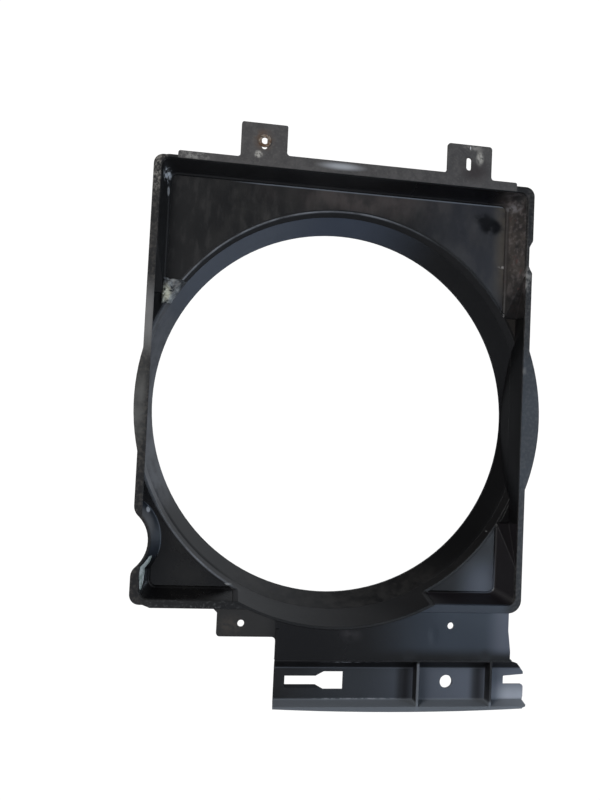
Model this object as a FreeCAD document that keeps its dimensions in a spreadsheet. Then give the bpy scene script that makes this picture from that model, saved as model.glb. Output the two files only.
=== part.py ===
import FreeCAD, Part
import os
import re
import Sketcher

# Radiator fan shroud, seen from the radiator side: X to the right, Y towards
# the engine along the fan axis, Z up.  Depths are measured from the front face
# of the flange; the origin lies on the fan axis, halfway along the collar.

doc = FreeCAD.newDocument("fan_shroud")
sheet = doc.addObject("Spreadsheet::Sheet", "Sizes")

# name, value in mm, what it measures
SIZES = [
    ("opening_radius", 235.8, "inside radius of the fan opening"),
    ("collar_start", 71.0, "depth where the funnel meets the collar"),
    ("collar_end", 75.0, "depth of the rear end of the collar"),
    ("origin_depth", 73.0, "depth of the frame's origin, halfway along the collar"),
    ("crease_radius", 253.0, "inside radius at the foot of the steep step"),
    ("crease_depth", 42.0, "depth of the foot of the steep step"),
    ("mouth_radius", 268.6, "inside radius where the step reaches the flange face"),
    ("funnel_wall", 3.4, "radial thickness of the conical walls"),
    ("shell", 3.0, "thickness of the flange, walls and floors"),
    ("box_left", 243.0, "fan axis to the left inner edge of the flange"),
    ("box_right", 236.3, "fan axis to the right inner edge of the flange"),
    ("box_top", 299.2, "fan axis to the top inner edge of the flange"),
    ("box_bottom", 239.2, "fan axis to the bottom inner edge of the flange"),
    ("floor_depth", 30.0, "depth of the corner floors"),
    ("floor_left", 230.6, "fan axis to the left edge of the floors"),
    ("floor_right", 219.0, "fan axis to the right edge of the floors"),
    ("floor_top", 288.0, "fan axis to the top edge of the floor"),
    ("floor_bottom", 228.2, "fan axis to the bottom edge of the floors"),
    ("box_corner", 12.0, "radius of the upright inner corners"),
    ("floor_fillet", 4.0, "radius at the foot of the walls"),
    ("side_front", 194.0, "half height of the straight side wall at the flange"),
    ("side_floor", 135.0, "half height of the straight side wall at the floors"),
    ("outer_left", 251.9, "fan axis to the left edge of the flange, at the top"),
    ("outer_left_low", 253.4, "the same at the bottom"),
    ("outer_right", 244.2, "fan axis to the right edge of the flange"),
    ("outer_top_left", 301.8, "height of the top left corner"),
    ("outer_top_right", 306.2, "height of the top right corner"),
    ("outer_bottom", 248.7, "fan axis to the bottom edge of the flange"),
    ("outer_bottom_left", 245.2, "the same at the lower left corner"),
    ("corner_radius", 12.0, "radius of three flange corners"),
    ("lower_right_radius", 17.0, "radius of the lower right flange corner"),
    ("ear_radius", 260.4, "radius of the two side ears"),
    ("ear_half", 92.0, "half height of the block that carries the ears"),
    ("notch_radius", 42.0, "radius of the clearance notch in the left edge"),
    ("notch_centre", 276.6, "fan axis to the notch centre, sideways"),
    ("notch_height", 170.0, "fan axis to the notch centre, downwards"),
    ("notch_flange", 2.2, "flange width around the notch"),
    ("notch_draft", 15.0, "how much the notch wall widens down to the floor"),
    ("notch_blend", 16.0, "radius that blends the notch into the edge"),
    ("dip_radius", 35.0, "radius of the shallow dip in the right edge"),
    ("dip_centre", 272.3, "fan axis to the dip centre, sideways"),
    ("dip_height", 214.0, "fan axis to the dip centre, upwards"),
    ("rail_left", 223.0, "fan axis to the left end of the top rail"),
    ("rail_right", 219.0, "fan axis to the right end of the top rail"),
    ("rail_low", 308.6, "height of the rail beyond the left tab"),
    ("rail_low_right", 310.5, "the same beyond the right tab"),
    ("rail_high", 315.2, "height of the rail between the tabs"),
    ("tab_top", 353.1, "height of the left tab"),
    ("right_tab_top", 354.0, "height of the right tab"),
    ("left_tab_outer", 146.2, "fan axis to the outer edge of the left tab"),
    ("left_tab_inner", 87.8, "fan axis to the inner edge of the left tab"),
    ("right_tab_inner", 122.5, "fan axis to the inner edge of the right tab"),
    ("right_tab_outer", 183.0, "fan axis to the outer edge of the right tab"),
    ("tab_fillet", 4.0, "radius of the tab corners and roots"),
    ("mount_left", 117.5, "fan axis to the lower left hole"),
    ("mount_right", 150.5, "fan axis to the lower right hole"),
    ("slot_left", 116.8, "fan axis to the upper left slot and its washer"),
    ("slot_right", 151.9, "fan axis to the upper right slot"),
    ("slot_height", 328.9, "height of the slot centres"),
    ("slot_reach", 4.9, "slot centre to the centre of each rounded end"),
    ("slot_radius", 3.6, "half width of the slots"),
    ("washer_height", 330.6, "height of the washer centre"),
    ("washer_outer", 8.0, "outside radius of the steel washer"),
    ("washer_inner", 4.2, "inside radius of the steel washer"),
    ("washer_thick", 1.6, "thickness of the steel washer"),
    ("lug_left", 147.0, "fan axis to the left edge of the lower lug"),
    ("lug_bottom", 281.5, "fan axis to the bottom of the lower lug"),
    ("lower_hole_height", 265.4, "fan axis to the two lower holes"),
    ("lower_hole_radius", 4.25, "radius of the two lower holes"),
    ("panel_left", 74.0, "fan axis to the left edge of the lower panel"),
    ("panel_right", 228.2, "fan axis to the right edge of the lower panel"),
    ("panel_flare", 231.6, "the same where the panel meets the channel"),
    ("panel_bottom", 309.0, "fan axis to the upper lip of the channel"),
    ("rim_width", 4.0, "width of the left rim of the panel"),
    ("rim_proud", 1.0, "height of the left rim above the panel"),
    ("channel_depth", 18.0, "depth of the channel floor"),
    ("channel_top", 322.0, "fan axis to the top of the channel floor"),
    ("channel_bottom", 362.0, "fan axis to the bottom of the channel floor"),
    ("channel_lip", 366.4, "fan axis to the lower lip of the channel"),
    ("channel_end", 258.3, "fan axis to the right end of the channel"),
    ("end_draft", 3.4, "how far the left end of the channel leans in"),
    ("lip_low", 372.8, "fan axis to the lowest point of the bowed bottom edge"),
    ("lip_low_side", 90.0, "sideways position of that lowest point"),
    ("lip_bow", 3500.0, "radius of the bowed bottom edge"),
    ("first_rib", 109.8, "fan axis to the first channel rib"),
    ("second_rib", 206.5, "fan axis to the second channel rib"),
    ("rib_thick", 3.0, "thickness of the channel ribs"),
    ("key_height", 337.9, "fan axis to the centre line of the keyhole slot"),
    ("key_left", 57.2, "fan axis to the narrow end of the keyhole slot"),
    ("key_neck", 18.0, "fan axis to the start of the taper"),
    ("key_shoulder", 7.5, "fan axis to the end of the taper"),
    ("key_right", 17.4, "fan axis to the wide end of the keyhole slot"),
    ("key_narrow", 5.5, "half height of the narrow part"),
    ("key_wide", 11.0, "half height of the wide part"),
    ("key_bevel", 4.0, "height of the bevel under the narrow part"),
    ("round_side", 153.3, "fan axis to the round channel hole, sideways"),
    ("round_height", 339.3, "fan axis to the round channel hole, downwards"),
    ("round_radius", 8.3, "radius of the round channel hole"),
    ("boss_radius", 12.5, "radius of the boss behind the round hole"),
    ("boss_height", 1.0, "height of the boss behind the round hole"),
    ("fork_left", 230.6, "fan axis to the closed end of the open slot"),
    ("fork_height", 337.0, "fan axis to the centre line of the open slot"),
    ("fork_half", 5.2, "half width of the open slot"),
    ("fork_flare", 2.4, "how much the open slot widens upwards at its mouth"),
]

for row, (name, value, note) in enumerate(SIZES, start=1):
    sheet.set("A%d" % row, name)
    sheet.set("B%d" % row, str(value))
    sheet.set("C%d" % row, note)
    sheet.setAlias("B%d" % row, name)
doc.recompute()

VALUE = {name: float(sheet.get(name)) for name, _, _ in SIZES}
WORDS = re.compile(r"\b(" + "|".join(sorted(VALUE, key=len, reverse=True)) + r")\b")


def bound(text):
    """Turn a formula in the names above into an expression on the sheet."""
    return WORDS.sub(r"Sizes.\1", text)


def deep(text):
    """A depth from the flange face, as a Y coordinate of the frame."""
    return "(%s) - origin_depth" % text


def add(kind, name):
    thing = doc.addObject(kind, name)
    thing.Label = name
    return thing


def box(name, x0, x1, y0, y1, z0, z1):
    solid = add("Part::Box", name)
    solid.setExpression("Length", bound("(%s) - (%s)" % (x1, x0)))
    solid.setExpression("Width", bound("(%s) - (%s)" % (y1, y0)))
    solid.setExpression("Height", bound("(%s) - (%s)" % (z1, z0)))
    solid.setExpression(".Placement.Base.x", bound(x0))
    solid.setExpression(".Placement.Base.y", bound(deep(y0)))
    solid.setExpression(".Placement.Base.z", bound(z0))
    return solid


def wedge(name, y0, y1, front, back):
    """Drafted block: front and back are (x0, x1, z0, z1) at depths y0 and y1."""
    solid = add("Part::Wedge", name)
    faces = (("Xmin", "Xmax", "Zmin", "Zmax"), ("X2min", "X2max", "Z2min", "Z2max"))
    for cells, texts in zip(faces, (front, back)):
        for cell, text in zip(cells, texts):
            solid.setExpression(cell, bound(text))
    solid.setExpression("Ymin", bound(deep(y0)))
    solid.setExpression("Ymax", bound(deep(y1)))
    return solid


def lay_along_y(solid, x, y0, z):
    """Turn a cylinder or cone so that its axis runs along Y."""
    turn = FreeCAD.Rotation(FreeCAD.Vector(1, 0, 0), -90)
    solid.Placement = FreeCAD.Placement(FreeCAD.Vector(0, 0, 0), turn)
    solid.setExpression(".Placement.Base.x", bound(x))
    solid.setExpression(".Placement.Base.y", bound(deep(y0)))
    solid.setExpression(".Placement.Base.z", bound(z))
    return solid


def rod(name, x, z, y0, y1, radius):
    solid = add("Part::Cylinder", name)
    solid.setExpression("Radius", bound(radius))
    solid.setExpression("Height", bound("(%s) - (%s)" % (y1, y0)))
    return lay_along_y(solid, x, y0, z)


def cone(name, x, z, y0, y1, radius0, radius1):
    solid = add("Part::Cone", name)
    solid.setExpression("Radius1", bound(radius0))
    solid.setExpression("Radius2", bound(radius1))
    solid.setExpression("Height", bound("(%s) - (%s)" % (y1, y0)))
    return lay_along_y(solid, x, y0, z)


def outline(name, points, turn):
    """Closed sketch whose corners are tied to the sheet; turn places its plane."""
    sketch = add("Sketcher::SketchObject", name)
    sketch.Placement = FreeCAD.Placement(FreeCAD.Vector(0, 0, 0), turn)
    count = len(points)
    guide = [FreeCAD.Vector(100.0 * i, 100.0 * i * i, 0) for i in range(count)]
    for i in range(count):
        sketch.addGeometry(Part.LineSegment(guide[i], guide[(i + 1) % count]), False)
    for i in range(count):
        sketch.addConstraint(Sketcher.Constraint("Coincident", i, 2, (i + 1) % count, 1))
    for i, point in enumerate(points):
        for kind, text, axis in zip(("DistanceX", "DistanceY"), point, (-2, -1)):
            if text == "0":
                sketch.addConstraint(Sketcher.Constraint("PointOnObject", i, 1, axis))
                continue
            spot = guide[i].x if kind == "DistanceX" else guide[i].y
            tie = sketch.addConstraint(Sketcher.Constraint(kind, -1, 1, i, 1, spot))
            sketch.setExpression("Constraints[%d]" % tie, bound(text))
    return sketch


def grow(name, sketch, direction, length):
    solid = add("Part::Extrusion", name)
    solid.Base = sketch
    solid.DirMode = "Custom"
    solid.Dir = direction
    solid.Solid = True
    solid.setExpression("LengthFwd", bound(length))
    return solid


def slab(name, points, y0, y1):
    """Flat plate with the given (x, z) outline between two depths."""
    upright = FreeCAD.Rotation(FreeCAD.Vector(1, 0, 0), 90)
    sketch = outline(name + "_outline", points, upright)
    sketch.setExpression(".Placement.Base.y", bound(deep(y0)))
    return grow(name, sketch, FreeCAD.Vector(0, 1, 0), "(%s) - (%s)" % (y1, y0))


def bar(name, points, x0, x1):
    """Bar along X with the given (depth, z) section."""
    across = FreeCAD.Rotation(FreeCAD.Vector(1, 1, 1), 120)
    section = [(deep(depth), z) for depth, z in points]
    sketch = outline(name + "_section", section, across)
    sketch.setExpression(".Placement.Base.x", bound(x0))
    return grow(name, sketch, FreeCAD.Vector(1, 0, 0), "(%s) - (%s)" % (x1, x0))


def turned(name, points):
    """Solid of revolution about the fan axis with the given (radius, depth) half."""
    flat = FreeCAD.Rotation(FreeCAD.Vector(0, 0, 1), 0)
    half = [(radius, deep(depth)) for radius, depth in points]
    sketch = outline(name + "_half", half, flat)
    solid = add("Part::Revolution", name)
    solid.Source = sketch
    solid.Axis = FreeCAD.Vector(0, 1, 0)
    solid.Base = FreeCAD.Vector(0, 0, 0)
    solid.Angle = 360.0
    solid.Solid = True
    return solid


def join(name, parts):
    solid = add("Part::MultiFuse", name)
    solid.Shapes = parts
    return solid


def cut(name, base, *tools):
    """Take every tool away from the base."""
    solid = add("Part::Cut", name)
    solid.Base = base
    solid.Tool = tools[0] if len(tools) == 1 else join(name + "_tools", list(tools))
    return solid


def overlap(name, first, second):
    solid = add("Part::MultiCommon", name)
    solid.Shapes = [first, second]
    return solid


def tidy(name, source):
    """Merge the coplanar faces that joining leaves behind."""
    solid = add("Part::Refine", name)
    solid.Source = source
    return solid


def upright_edge(x, z, radius):
    """Choose the edge along Y that stands nearest to (x, z)."""
    def choose(edges):
        best = None
        for index, edge in enumerate(edges, start=1):
            if len(edge.Vertexes) != 2:
                continue
            a, b = (vertex.Point for vertex in edge.Vertexes)
            if abs(a.x - b.x) > 0.01 or abs(a.z - b.z) > 0.01:
                continue
            gap = (a.x - x) ** 2 + (a.z - z) ** 2
            if best is None or gap < best[0]:
                best = (gap, index)
        return [(best[1], radius, radius)]
    return choose


def rounded(name, source, choices):
    doc.recompute()
    edges = []
    for choose in choices:
        edges.extend(choose(source.Shape.Edges))
    solid = add("Part::Fillet", name)
    solid.Base = source
    solid.Edges = edges
    return solid


V = VALUE

# --- drafted box: the hollow of the tray and its outside --------------------

hollow_block = wedge(
    "hollow_block", "0", "floor_depth",
    ("-box_left", "box_right", "-box_bottom", "box_top"),
    ("-floor_left", "floor_right", "-floor_bottom", "floor_top"))
outside_block = wedge(
    "outside_block", "0", "floor_depth + shell",
    ("-box_left - shell * 1.08", "box_right + shell * 1.08",
     "-box_bottom - shell * 1.08", "box_top + shell * 1.08"),
    ("-floor_left - shell * 0.65", "floor_right + shell * 0.65",
     "-floor_bottom - shell * 0.65", "floor_top + shell * 0.65"))


def leaning_edges(radius):
    """Choose the four corner edges of a drafted block, which lean in depth."""
    def choose(edges):
        picked = []
        for index, edge in enumerate(edges, start=1):
            a, b = (vertex.Point for vertex in edge.Vertexes)
            if abs(a.y - b.y) > 1.0:
                picked.append((index, radius, radius))
        return picked
    return choose


def foot_edges(radius):
    """Choose the four edges round the deep end of a drafted block."""
    def choose(edges):
        deepest = max(vertex.Point.y for edge in edges for vertex in edge.Vertexes)
        picked = []
        for index, edge in enumerate(edges, start=1):
            if all(vertex.Point.y > deepest - 0.01 for vertex in edge.Vertexes):
                picked.append((index, radius, radius))
        return picked
    return choose


hollow_corners = rounded(
    "hollow_corners", hollow_block,
    [leaning_edges(V["box_corner"]), foot_edges(V["floor_fillet"])])
outside_corners = rounded(
    "outside_corners", outside_block,
    [leaning_edges(V["box_corner"] + V["shell"]), foot_edges(V["floor_fillet"] + V["shell"])])

# the straight side walls reach further up and down at the flange than below
hollow_sides = wedge(
    "hollow_sides", "0", "floor_depth",
    ("-box_left", "box_right", "-side_front", "side_front"),
    ("-box_left", "box_right", "-side_floor", "side_floor"))
outside_sides = wedge(
    "outside_sides", "0", "floor_depth + shell",
    ("-box_left - shell", "box_right + shell", "-side_front - shell", "side_front + shell"),
    ("-box_left - shell", "box_right + shell", "-side_floor - shell", "side_floor + shell"))

notch_inner = "notch_radius + notch_flange"
notch_outer = notch_inner + " - shell * 1.12"
notch_lean = "notch_draft / (floor_depth + 2)"
notch_hollow = cone(
    "notch_hollow", "-notch_centre", "-notch_height", "-1", "floor_depth + 1",
    notch_inner, notch_inner + " + notch_draft")
notch_outside = cone(
    "notch_outside", "-notch_centre", "-notch_height", "shell", "floor_depth + shell + 1",
    notch_outer + " + " + notch_lean + " * (shell + 1)",
    notch_outer + " + " + notch_lean + " * (floor_depth + shell + 2)")

hollow = cut("hollow", join("hollow_all", [hollow_corners, hollow_sides]), notch_hollow)
outside = cut("outside", join("outside_all", [outside_corners, outside_sides]), notch_outside)

# --- funnel and collar, turned about the fan axis ---------------------------

funnel_inside = turned("funnel_inside", [
    ("0", "-1"),
    ("mouth_radius + 0.37", "-1"),
    ("crease_radius", "crease_depth"),
    ("opening_radius", "collar_start"),
    ("opening_radius", "collar_end + 1"),
    ("0", "collar_end + 1")])
funnel_outside = turned("funnel_outside", [
    ("0", "0"),
    ("mouth_radius + funnel_wall", "0"),
    ("crease_radius + funnel_wall", "crease_depth"),
    ("opening_radius + shell", "collar_start"),
    ("opening_radius + shell", "collar_end"),
    ("0", "collar_end")])

# the box sides stand closer together than the funnel mouth and clip it
reach = "mouth_radius + funnel_wall + 5"
clip_inside = box(
    "clip_inside", "-box_left", "box_right", "-2", "collar_end + 2",
    "-(" + reach + ")", "box_top")
clip_outside = box(
    "clip_outside", "-box_left - shell", "box_right + shell", "0", "collar_end",
    "-(" + reach + ")", "box_top")
left_wall_zone = box(
    "left_wall_zone", "-box_left - shell - 1", "-box_left", "-1", "crease_depth",
    "-(" + reach + ")", reach)
right_wall_zone = box(
    "right_wall_zone", "box_right", "box_right + shell + 1", "-1", "crease_depth",
    "-(" + reach + ")", reach)

funnel_solid = overlap("funnel_solid", funnel_outside, clip_outside)
funnel_air = overlap("funnel_air", funnel_inside, clip_inside)
wall_zones = join("wall_zones", [left_wall_zone, right_wall_zone])
funnel_core = cut("funnel_core", funnel_solid, wall_zones)
side_walls = overlap("side_walls", funnel_solid, wall_zones)
funnel_shell = cut("funnel_shell", funnel_core, funnel_air, hollow)

# --- divide a region of the moulding at its creases -------------------------

LEFT = "-ear_radius - 20"
RIGHT = "ear_radius + 20"
TOP = "right_tab_top + 20"
BOTTOM = "-lip_low - 20"


def region(name, source, x0, x1, y0, y1, z0, z1):
    """The share of the source that lies in one block of space."""
    zone = box(name + "_zone", x0, x1, y0, y1, z0, z1)
    return tidy(name, overlap(name + "_share", source, zone))


fan_ring = region(
    "fan_ring", funnel_shell, LEFT, RIGHT, "crease_depth", "collar_end + 1", BOTTOM, TOP)
upper_step = region(
    "upper_step", funnel_shell, LEFT, RIGHT, "-1", "crease_depth", "0", TOP)
lower_step = region(
    "lower_step", funnel_shell, LEFT, RIGHT, "-1", "crease_depth", BOTTOM, "0")

# --- tray: flange with ears, drafted walls and the corner floors ------------

flange_plate = slab("flange_plate", [
    ("-outer_left", "outer_top_left"),
    ("-outer_left_low", "-outer_bottom_left"),
    ("-outer_left_low + 16", "-outer_bottom_left"),
    ("-outer_left_low + 25", "-outer_bottom"),
    ("outer_right", "-outer_bottom"),
    ("outer_right", "outer_top_right"),
    ("rail_right - 9", "outer_top_right"),
    ("-rail_left + 9", "outer_top_left")], "0", "shell")
notch_cutter = rod(
    "notch_cutter", "-notch_centre", "-notch_height", "-1", "shell + 1", "notch_radius")
notch_gap = rod("notch_gap", "-notch_centre", "-notch_height", "-1", "shell", "notch_radius")
dip_cutter = rod("dip_cutter", "dip_centre", "dip_height", "-1", "shell + 1", "dip_radius")
notched_plate = cut("notched_plate", flange_plate, notch_cutter, dip_cutter)

notch_reach = (V["notch_radius"] ** 2 - (V["notch_centre"] - V["outer_left"]) ** 2) ** 0.5
dip_reach = (V["dip_radius"] ** 2 - (V["dip_centre"] - V["outer_right"]) ** 2) ** 0.5
rounded_plate = rounded("rounded_plate", notched_plate, [
    upright_edge(-V["outer_left"], V["outer_top_left"], V["corner_radius"]),
    upright_edge(-V["outer_left_low"], -V["outer_bottom_left"], V["corner_radius"]),
    upright_edge(V["outer_right"], V["outer_top_right"], V["corner_radius"]),
    upright_edge(V["outer_right"], -V["outer_bottom"], V["lower_right_radius"]),
    upright_edge(-V["outer_left"], -V["notch_height"] + notch_reach, V["notch_blend"]),
    upright_edge(-V["outer_left"], -V["notch_height"] - notch_reach, V["notch_blend"]),
    upright_edge(V["outer_right"], V["dip_height"] + dip_reach, V["dip_radius"] / 4),
    upright_edge(V["outer_right"], V["dip_height"] - dip_reach, V["dip_radius"] / 9)])

ear_disc = rod("ear_disc", "0", "0", "0", "shell", "ear_radius")
ear_block = box(
    "ear_block", "-ear_radius - 1", "ear_radius + 1", "0", "shell", "-ear_half", "ear_half")
ears = overlap("ears", ear_disc, ear_block)

rail_seat = box(
    "rail_seat", "-rail_left", "rail_right", "-1", "shell", "box_top", "rail_high + 1")
tray_solid = join("tray_solid", [rounded_plate, ears, outside, side_walls])
tray_cut = cut("tray_cut", tray_solid, hollow, funnel_core, rail_seat, notch_gap)

front_flange = region(
    "front_flange", tray_cut, LEFT, RIGHT, "-1", "shell", BOTTOM, TOP)
upper_walls = region(
    "upper_walls", tray_cut, LEFT, RIGHT, "shell", "floor_depth", "side_floor", TOP)
# the notch wall reaches up beside the foot of the left side wall
notch_top = "-notch_height + " + notch_inner + " + notch_draft + shell"
lower_left_walls = region(
    "lower_left_walls", tray_cut, LEFT, "0", "shell", "floor_depth", BOTTOM, notch_top)
lower_right_walls = region(
    "lower_right_walls", tray_cut, "0", RIGHT, "shell", "floor_depth", BOTTOM, "-side_floor")
left_side_wall = region(
    "left_side_wall", tray_cut, LEFT, "-box_left", "shell", "crease_depth",
    notch_top, "side_floor")
right_side_wall = region(
    "right_side_wall", tray_cut, "box_right", RIGHT, "shell", "crease_depth",
    "-side_floor", "side_floor")
floors = cut("floors", tray_cut, left_side_wall, right_side_wall)
upper_floor = region(
    "upper_floor", floors, LEFT, RIGHT, "floor_depth", "crease_depth", "0", TOP)
lower_left_floor = region(
    "lower_left_floor", floors, LEFT, "0", "floor_depth", "crease_depth", BOTTOM, "0")
lower_right_floor = region(
    "lower_right_floor", floors, "0", RIGHT, "floor_depth", "crease_depth", BOTTOM, "0")

# --- top rail with its two slotted tabs -------------------------------------

rail_plate = slab("rail_plate", [
    ("-rail_left", "box_top"),
    ("-rail_left", "rail_low"),
    ("-left_tab_outer", "rail_low"),
    ("-left_tab_outer", "tab_top"),
    ("-left_tab_inner", "tab_top"),
    ("-left_tab_inner", "rail_high"),
    ("right_tab_inner", "rail_high"),
    ("right_tab_inner", "right_tab_top"),
    ("right_tab_outer", "right_tab_top"),
    ("right_tab_outer", "rail_low_right"),
    ("rail_right", "rail_low_right"),
    ("rail_right", "box_top")], "0", "shell")
rail_rounded = rounded("rail_rounded", rail_plate, [
    upright_edge(-V["rail_left"], V["rail_low"], V["tab_fillet"] * 0.7),
    upright_edge(-V["left_tab_outer"], V["rail_low"], V["tab_fillet"]),
    upright_edge(-V["left_tab_outer"], V["tab_top"], V["tab_fillet"] * 0.7),
    upright_edge(-V["left_tab_inner"], V["tab_top"], V["tab_fillet"] * 0.6),
    upright_edge(-V["left_tab_inner"], V["rail_high"], V["tab_fillet"]),
    upright_edge(V["right_tab_inner"], V["rail_high"], V["tab_fillet"]),
    upright_edge(V["right_tab_inner"], V["right_tab_top"], V["tab_fillet"]),
    upright_edge(V["right_tab_outer"], V["right_tab_top"], V["tab_fillet"]),
    upright_edge(V["right_tab_outer"], V["rail_low_right"], V["tab_fillet"]),
    upright_edge(V["rail_right"], V["rail_low_right"], V["tab_fillet"] * 0.6)])


def slot(name, x):
    low = "slot_height - slot_reach"
    high = "slot_height + slot_reach"
    middle = box(name + "_middle", x + " - slot_radius", x + " + slot_radius",
                 "-1", "shell + 1", low, high)
    lower = rod(name + "_lower", x, low, "-1", "shell + 1", "slot_radius")
    upper = rod(name + "_upper", x, high, "-1", "shell + 1", "slot_radius")
    return join(name, [middle, lower, upper])


top_rail = cut(
    "top_rail", rail_rounded, slot("left_slot", "-slot_left"), slot("right_slot", "slot_right"))

# --- steel washer left on the upper left tab --------------------------------

washer_disc = rod("washer_disc", "-slot_left", "washer_height", "-washer_thick", "0",
                  "washer_outer")
washer_hole = rod("washer_hole", "-slot_left", "washer_height", "-washer_thick - 1", "1",
                  "washer_inner")
upper_left_washer = cut("upper_left_washer", washer_disc, washer_hole)

# --- lower panel: plate, lug, channel, ribs ---------------------------------

panel_plate = slab("panel_plate", [
    ("-lug_left - 4.5", "-outer_bottom"),
    ("-lug_left", "-outer_bottom - 4.5"),
    ("-lug_left", "-lug_bottom"),
    ("-panel_left", "-lug_bottom"),
    ("-panel_left", "-panel_bottom - 2"),
    ("panel_flare", "-panel_bottom - 2"),
    ("panel_flare", "-panel_bottom + 12"),
    ("panel_right", "-outer_bottom - 22"),
    ("panel_right", "-outer_bottom")], "0", "shell")
panel_rounded = rounded("panel_rounded", panel_plate, [
    upright_edge(-V["lug_left"], -V["lug_bottom"], V["tab_fillet"]),
    upright_edge(-V["panel_left"], -V["lug_bottom"], V["tab_fillet"] * 1.3)])

# the upper channel wall leans; its thickness is kept along its own normal
lean = "(channel_top - panel_bottom) / channel_depth"
foot = "(channel_lip - channel_bottom) / channel_depth"
channel_shell = bar("channel_shell", [
    ("0", "-panel_bottom"),
    ("channel_depth", "-channel_top"),
    ("channel_depth", "-channel_bottom"),
    ("0", "-channel_lip"),
    ("0", "-lip_low - 1"),
    ("shell", "-lip_low - 1"),
    ("shell", "-channel_lip + " + foot + " * shell - shell * 1.05"),
    ("channel_depth + shell", "-channel_bottom + " + foot + " * shell - shell * 1.05"),
    ("channel_depth + shell", "-channel_top - " + lean + " * shell + shell * 1.23"),
    ("shell", "-panel_bottom - " + lean + " * shell + shell * 1.23"),
    ("0", "-panel_bottom + 0.5")], "-panel_left", "channel_end + 2")
bow_disc = rod(
    "bow_disc", "lip_low_side", "lip_bow - lip_low", "-1", "channel_depth + shell + 1", "lip_bow")
channel_bowed = overlap("channel_bowed", channel_shell, bow_disc)

CHANNEL_HOLLOW = [
    ("0", "-panel_bottom"),
    ("channel_depth + 1", "-channel_top - " + lean),
    ("channel_depth + 1", "-channel_bottom + " + foot),
    ("0", "-channel_lip")]


def channel_rib(name, x0, x1):
    return bar(name, CHANNEL_HOLLOW, x0, x1)


rib_one = channel_rib("rib_one", "first_rib - rib_thick / 2", "first_rib + rib_thick / 2")
rib_two = channel_rib("rib_two", "second_rib - rib_thick / 2", "second_rib + rib_thick / 2")
left_rim = box(
    "left_rim", "-panel_left", "-panel_left + rim_width", "-rim_proud", "shell",
    "-panel_bottom", "-lug_bottom + 10")
round_boss = rod(
    "round_boss", "round_side", "-round_height", "channel_depth + shell - 0.5",
    "channel_depth + shell + boss_height", "boss_radius")
panel_solid = join("panel_solid", [
    panel_rounded, channel_bowed, rib_one, rib_two, left_rim, round_boss])

through = "channel_depth + shell + boss_height + 1"
left_hole = rod("left_hole", "-mount_left", "-lower_hole_height", "-1", "shell + 1",
                "lower_hole_radius")
right_hole = rod("right_hole", "mount_right", "-lower_hole_height", "-1", "shell + 1",
                 "lower_hole_radius")
round_hole = rod("round_hole", "round_side", "-round_height", "-1", through, "round_radius")
keyhole = slab("keyhole", [
    ("-key_left", "-key_height - key_narrow"),
    ("-key_left", "-key_height + key_narrow"),
    ("-key_neck", "-key_height + key_narrow"),
    ("-key_shoulder", "-key_height + key_wide"),
    ("key_right", "-key_height + key_wide"),
    ("key_right", "-key_height - key_wide"),
    ("-key_shoulder", "-key_height - key_wide"),
    ("-key_neck", "-key_height - key_narrow")], "channel_depth - 1", "channel_depth + shell + 1")
key_slope = bar("key_slope", [
    ("channel_depth - 1", "-key_height"),
    ("channel_depth + shell + 1", "-key_height"),
    ("channel_depth + shell + 1", "-key_height - key_narrow"),
    ("channel_depth + shell", "-key_height - key_narrow"),
    ("channel_depth", "-key_height - key_narrow - key_bevel"),
    ("channel_depth - 1", "-key_height - key_narrow - key_bevel")], "-key_left", "-key_neck + 4")
right_end = slab("right_end", [
    ("panel_flare + 0.6", "-panel_bottom + 14"),
    ("panel_flare + 2.6", "-panel_bottom - 1"),
    ("channel_end - 14", "-panel_bottom - 4.3"),
    ("channel_end - 5", "-channel_top + 1.2"),
    ("channel_end - 0.6", "-channel_top - 4"),
    ("channel_end", "-fork_height + fork_half + fork_flare"),
    ("fork_left", "-fork_height + fork_half"),
    ("fork_left", "-fork_height - fork_half"),
    ("channel_end", "-fork_height - fork_half"),
    ("channel_end", "-channel_bottom + 5"),
    ("channel_end - 1.6", "-channel_lip + 1"),
    ("channel_end - 8", "-channel_lip - 2"),
    ("channel_end - 8", "-lip_low - 2"),
    ("channel_end + 4", "-lip_low - 2"),
    ("channel_end + 4", "-panel_bottom + 14")], "-1", "channel_depth + shell + 1")
right_end_rounded = rounded("right_end_rounded", right_end, [
    upright_edge(V["panel_flare"] + 2.6, -V["panel_bottom"] - 1, 3.5),
    upright_edge(V["channel_end"], -V["fork_height"] + V["fork_half"] + V["fork_flare"], 1.2),
    upright_edge(V["fork_left"], -V["fork_height"] + V["fork_half"], 1.0),
    upright_edge(V["fork_left"], -V["fork_height"] - V["fork_half"], 1.0),
    upright_edge(V["channel_end"], -V["fork_height"] - V["fork_half"], 4.0)])
left_end = wedge(
    "left_end", "0", "channel_depth + shell + 1",
    ("-panel_left - 20", "-panel_left", "-lip_low - 10", "-panel_bottom"),
    ("-panel_left - 20", "-panel_left + end_draft", "-lip_low - 10", "-panel_bottom"))
panel_cut = cut("panel_cut", panel_solid, funnel_core, left_hole, right_hole, round_hole,
                keyhole, key_slope, right_end_rounded, left_end)
lower_panel = region(
    "lower_panel", panel_cut, LEFT, RIGHT, "-rim_proud - 1", through, "-panel_bottom", TOP)
lower_channel = region(
    "lower_channel", panel_cut, LEFT, RIGHT, "-rim_proud - 1", through, BOTTOM, "-panel_bottom")

doc.recompute()

# --- check and write --------------------------------------------------------

for thing in doc.Objects:
    if "Invalid" in thing.State or "Error" in thing.State:
        raise RuntimeError("%s does not build" % thing.Label)

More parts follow.
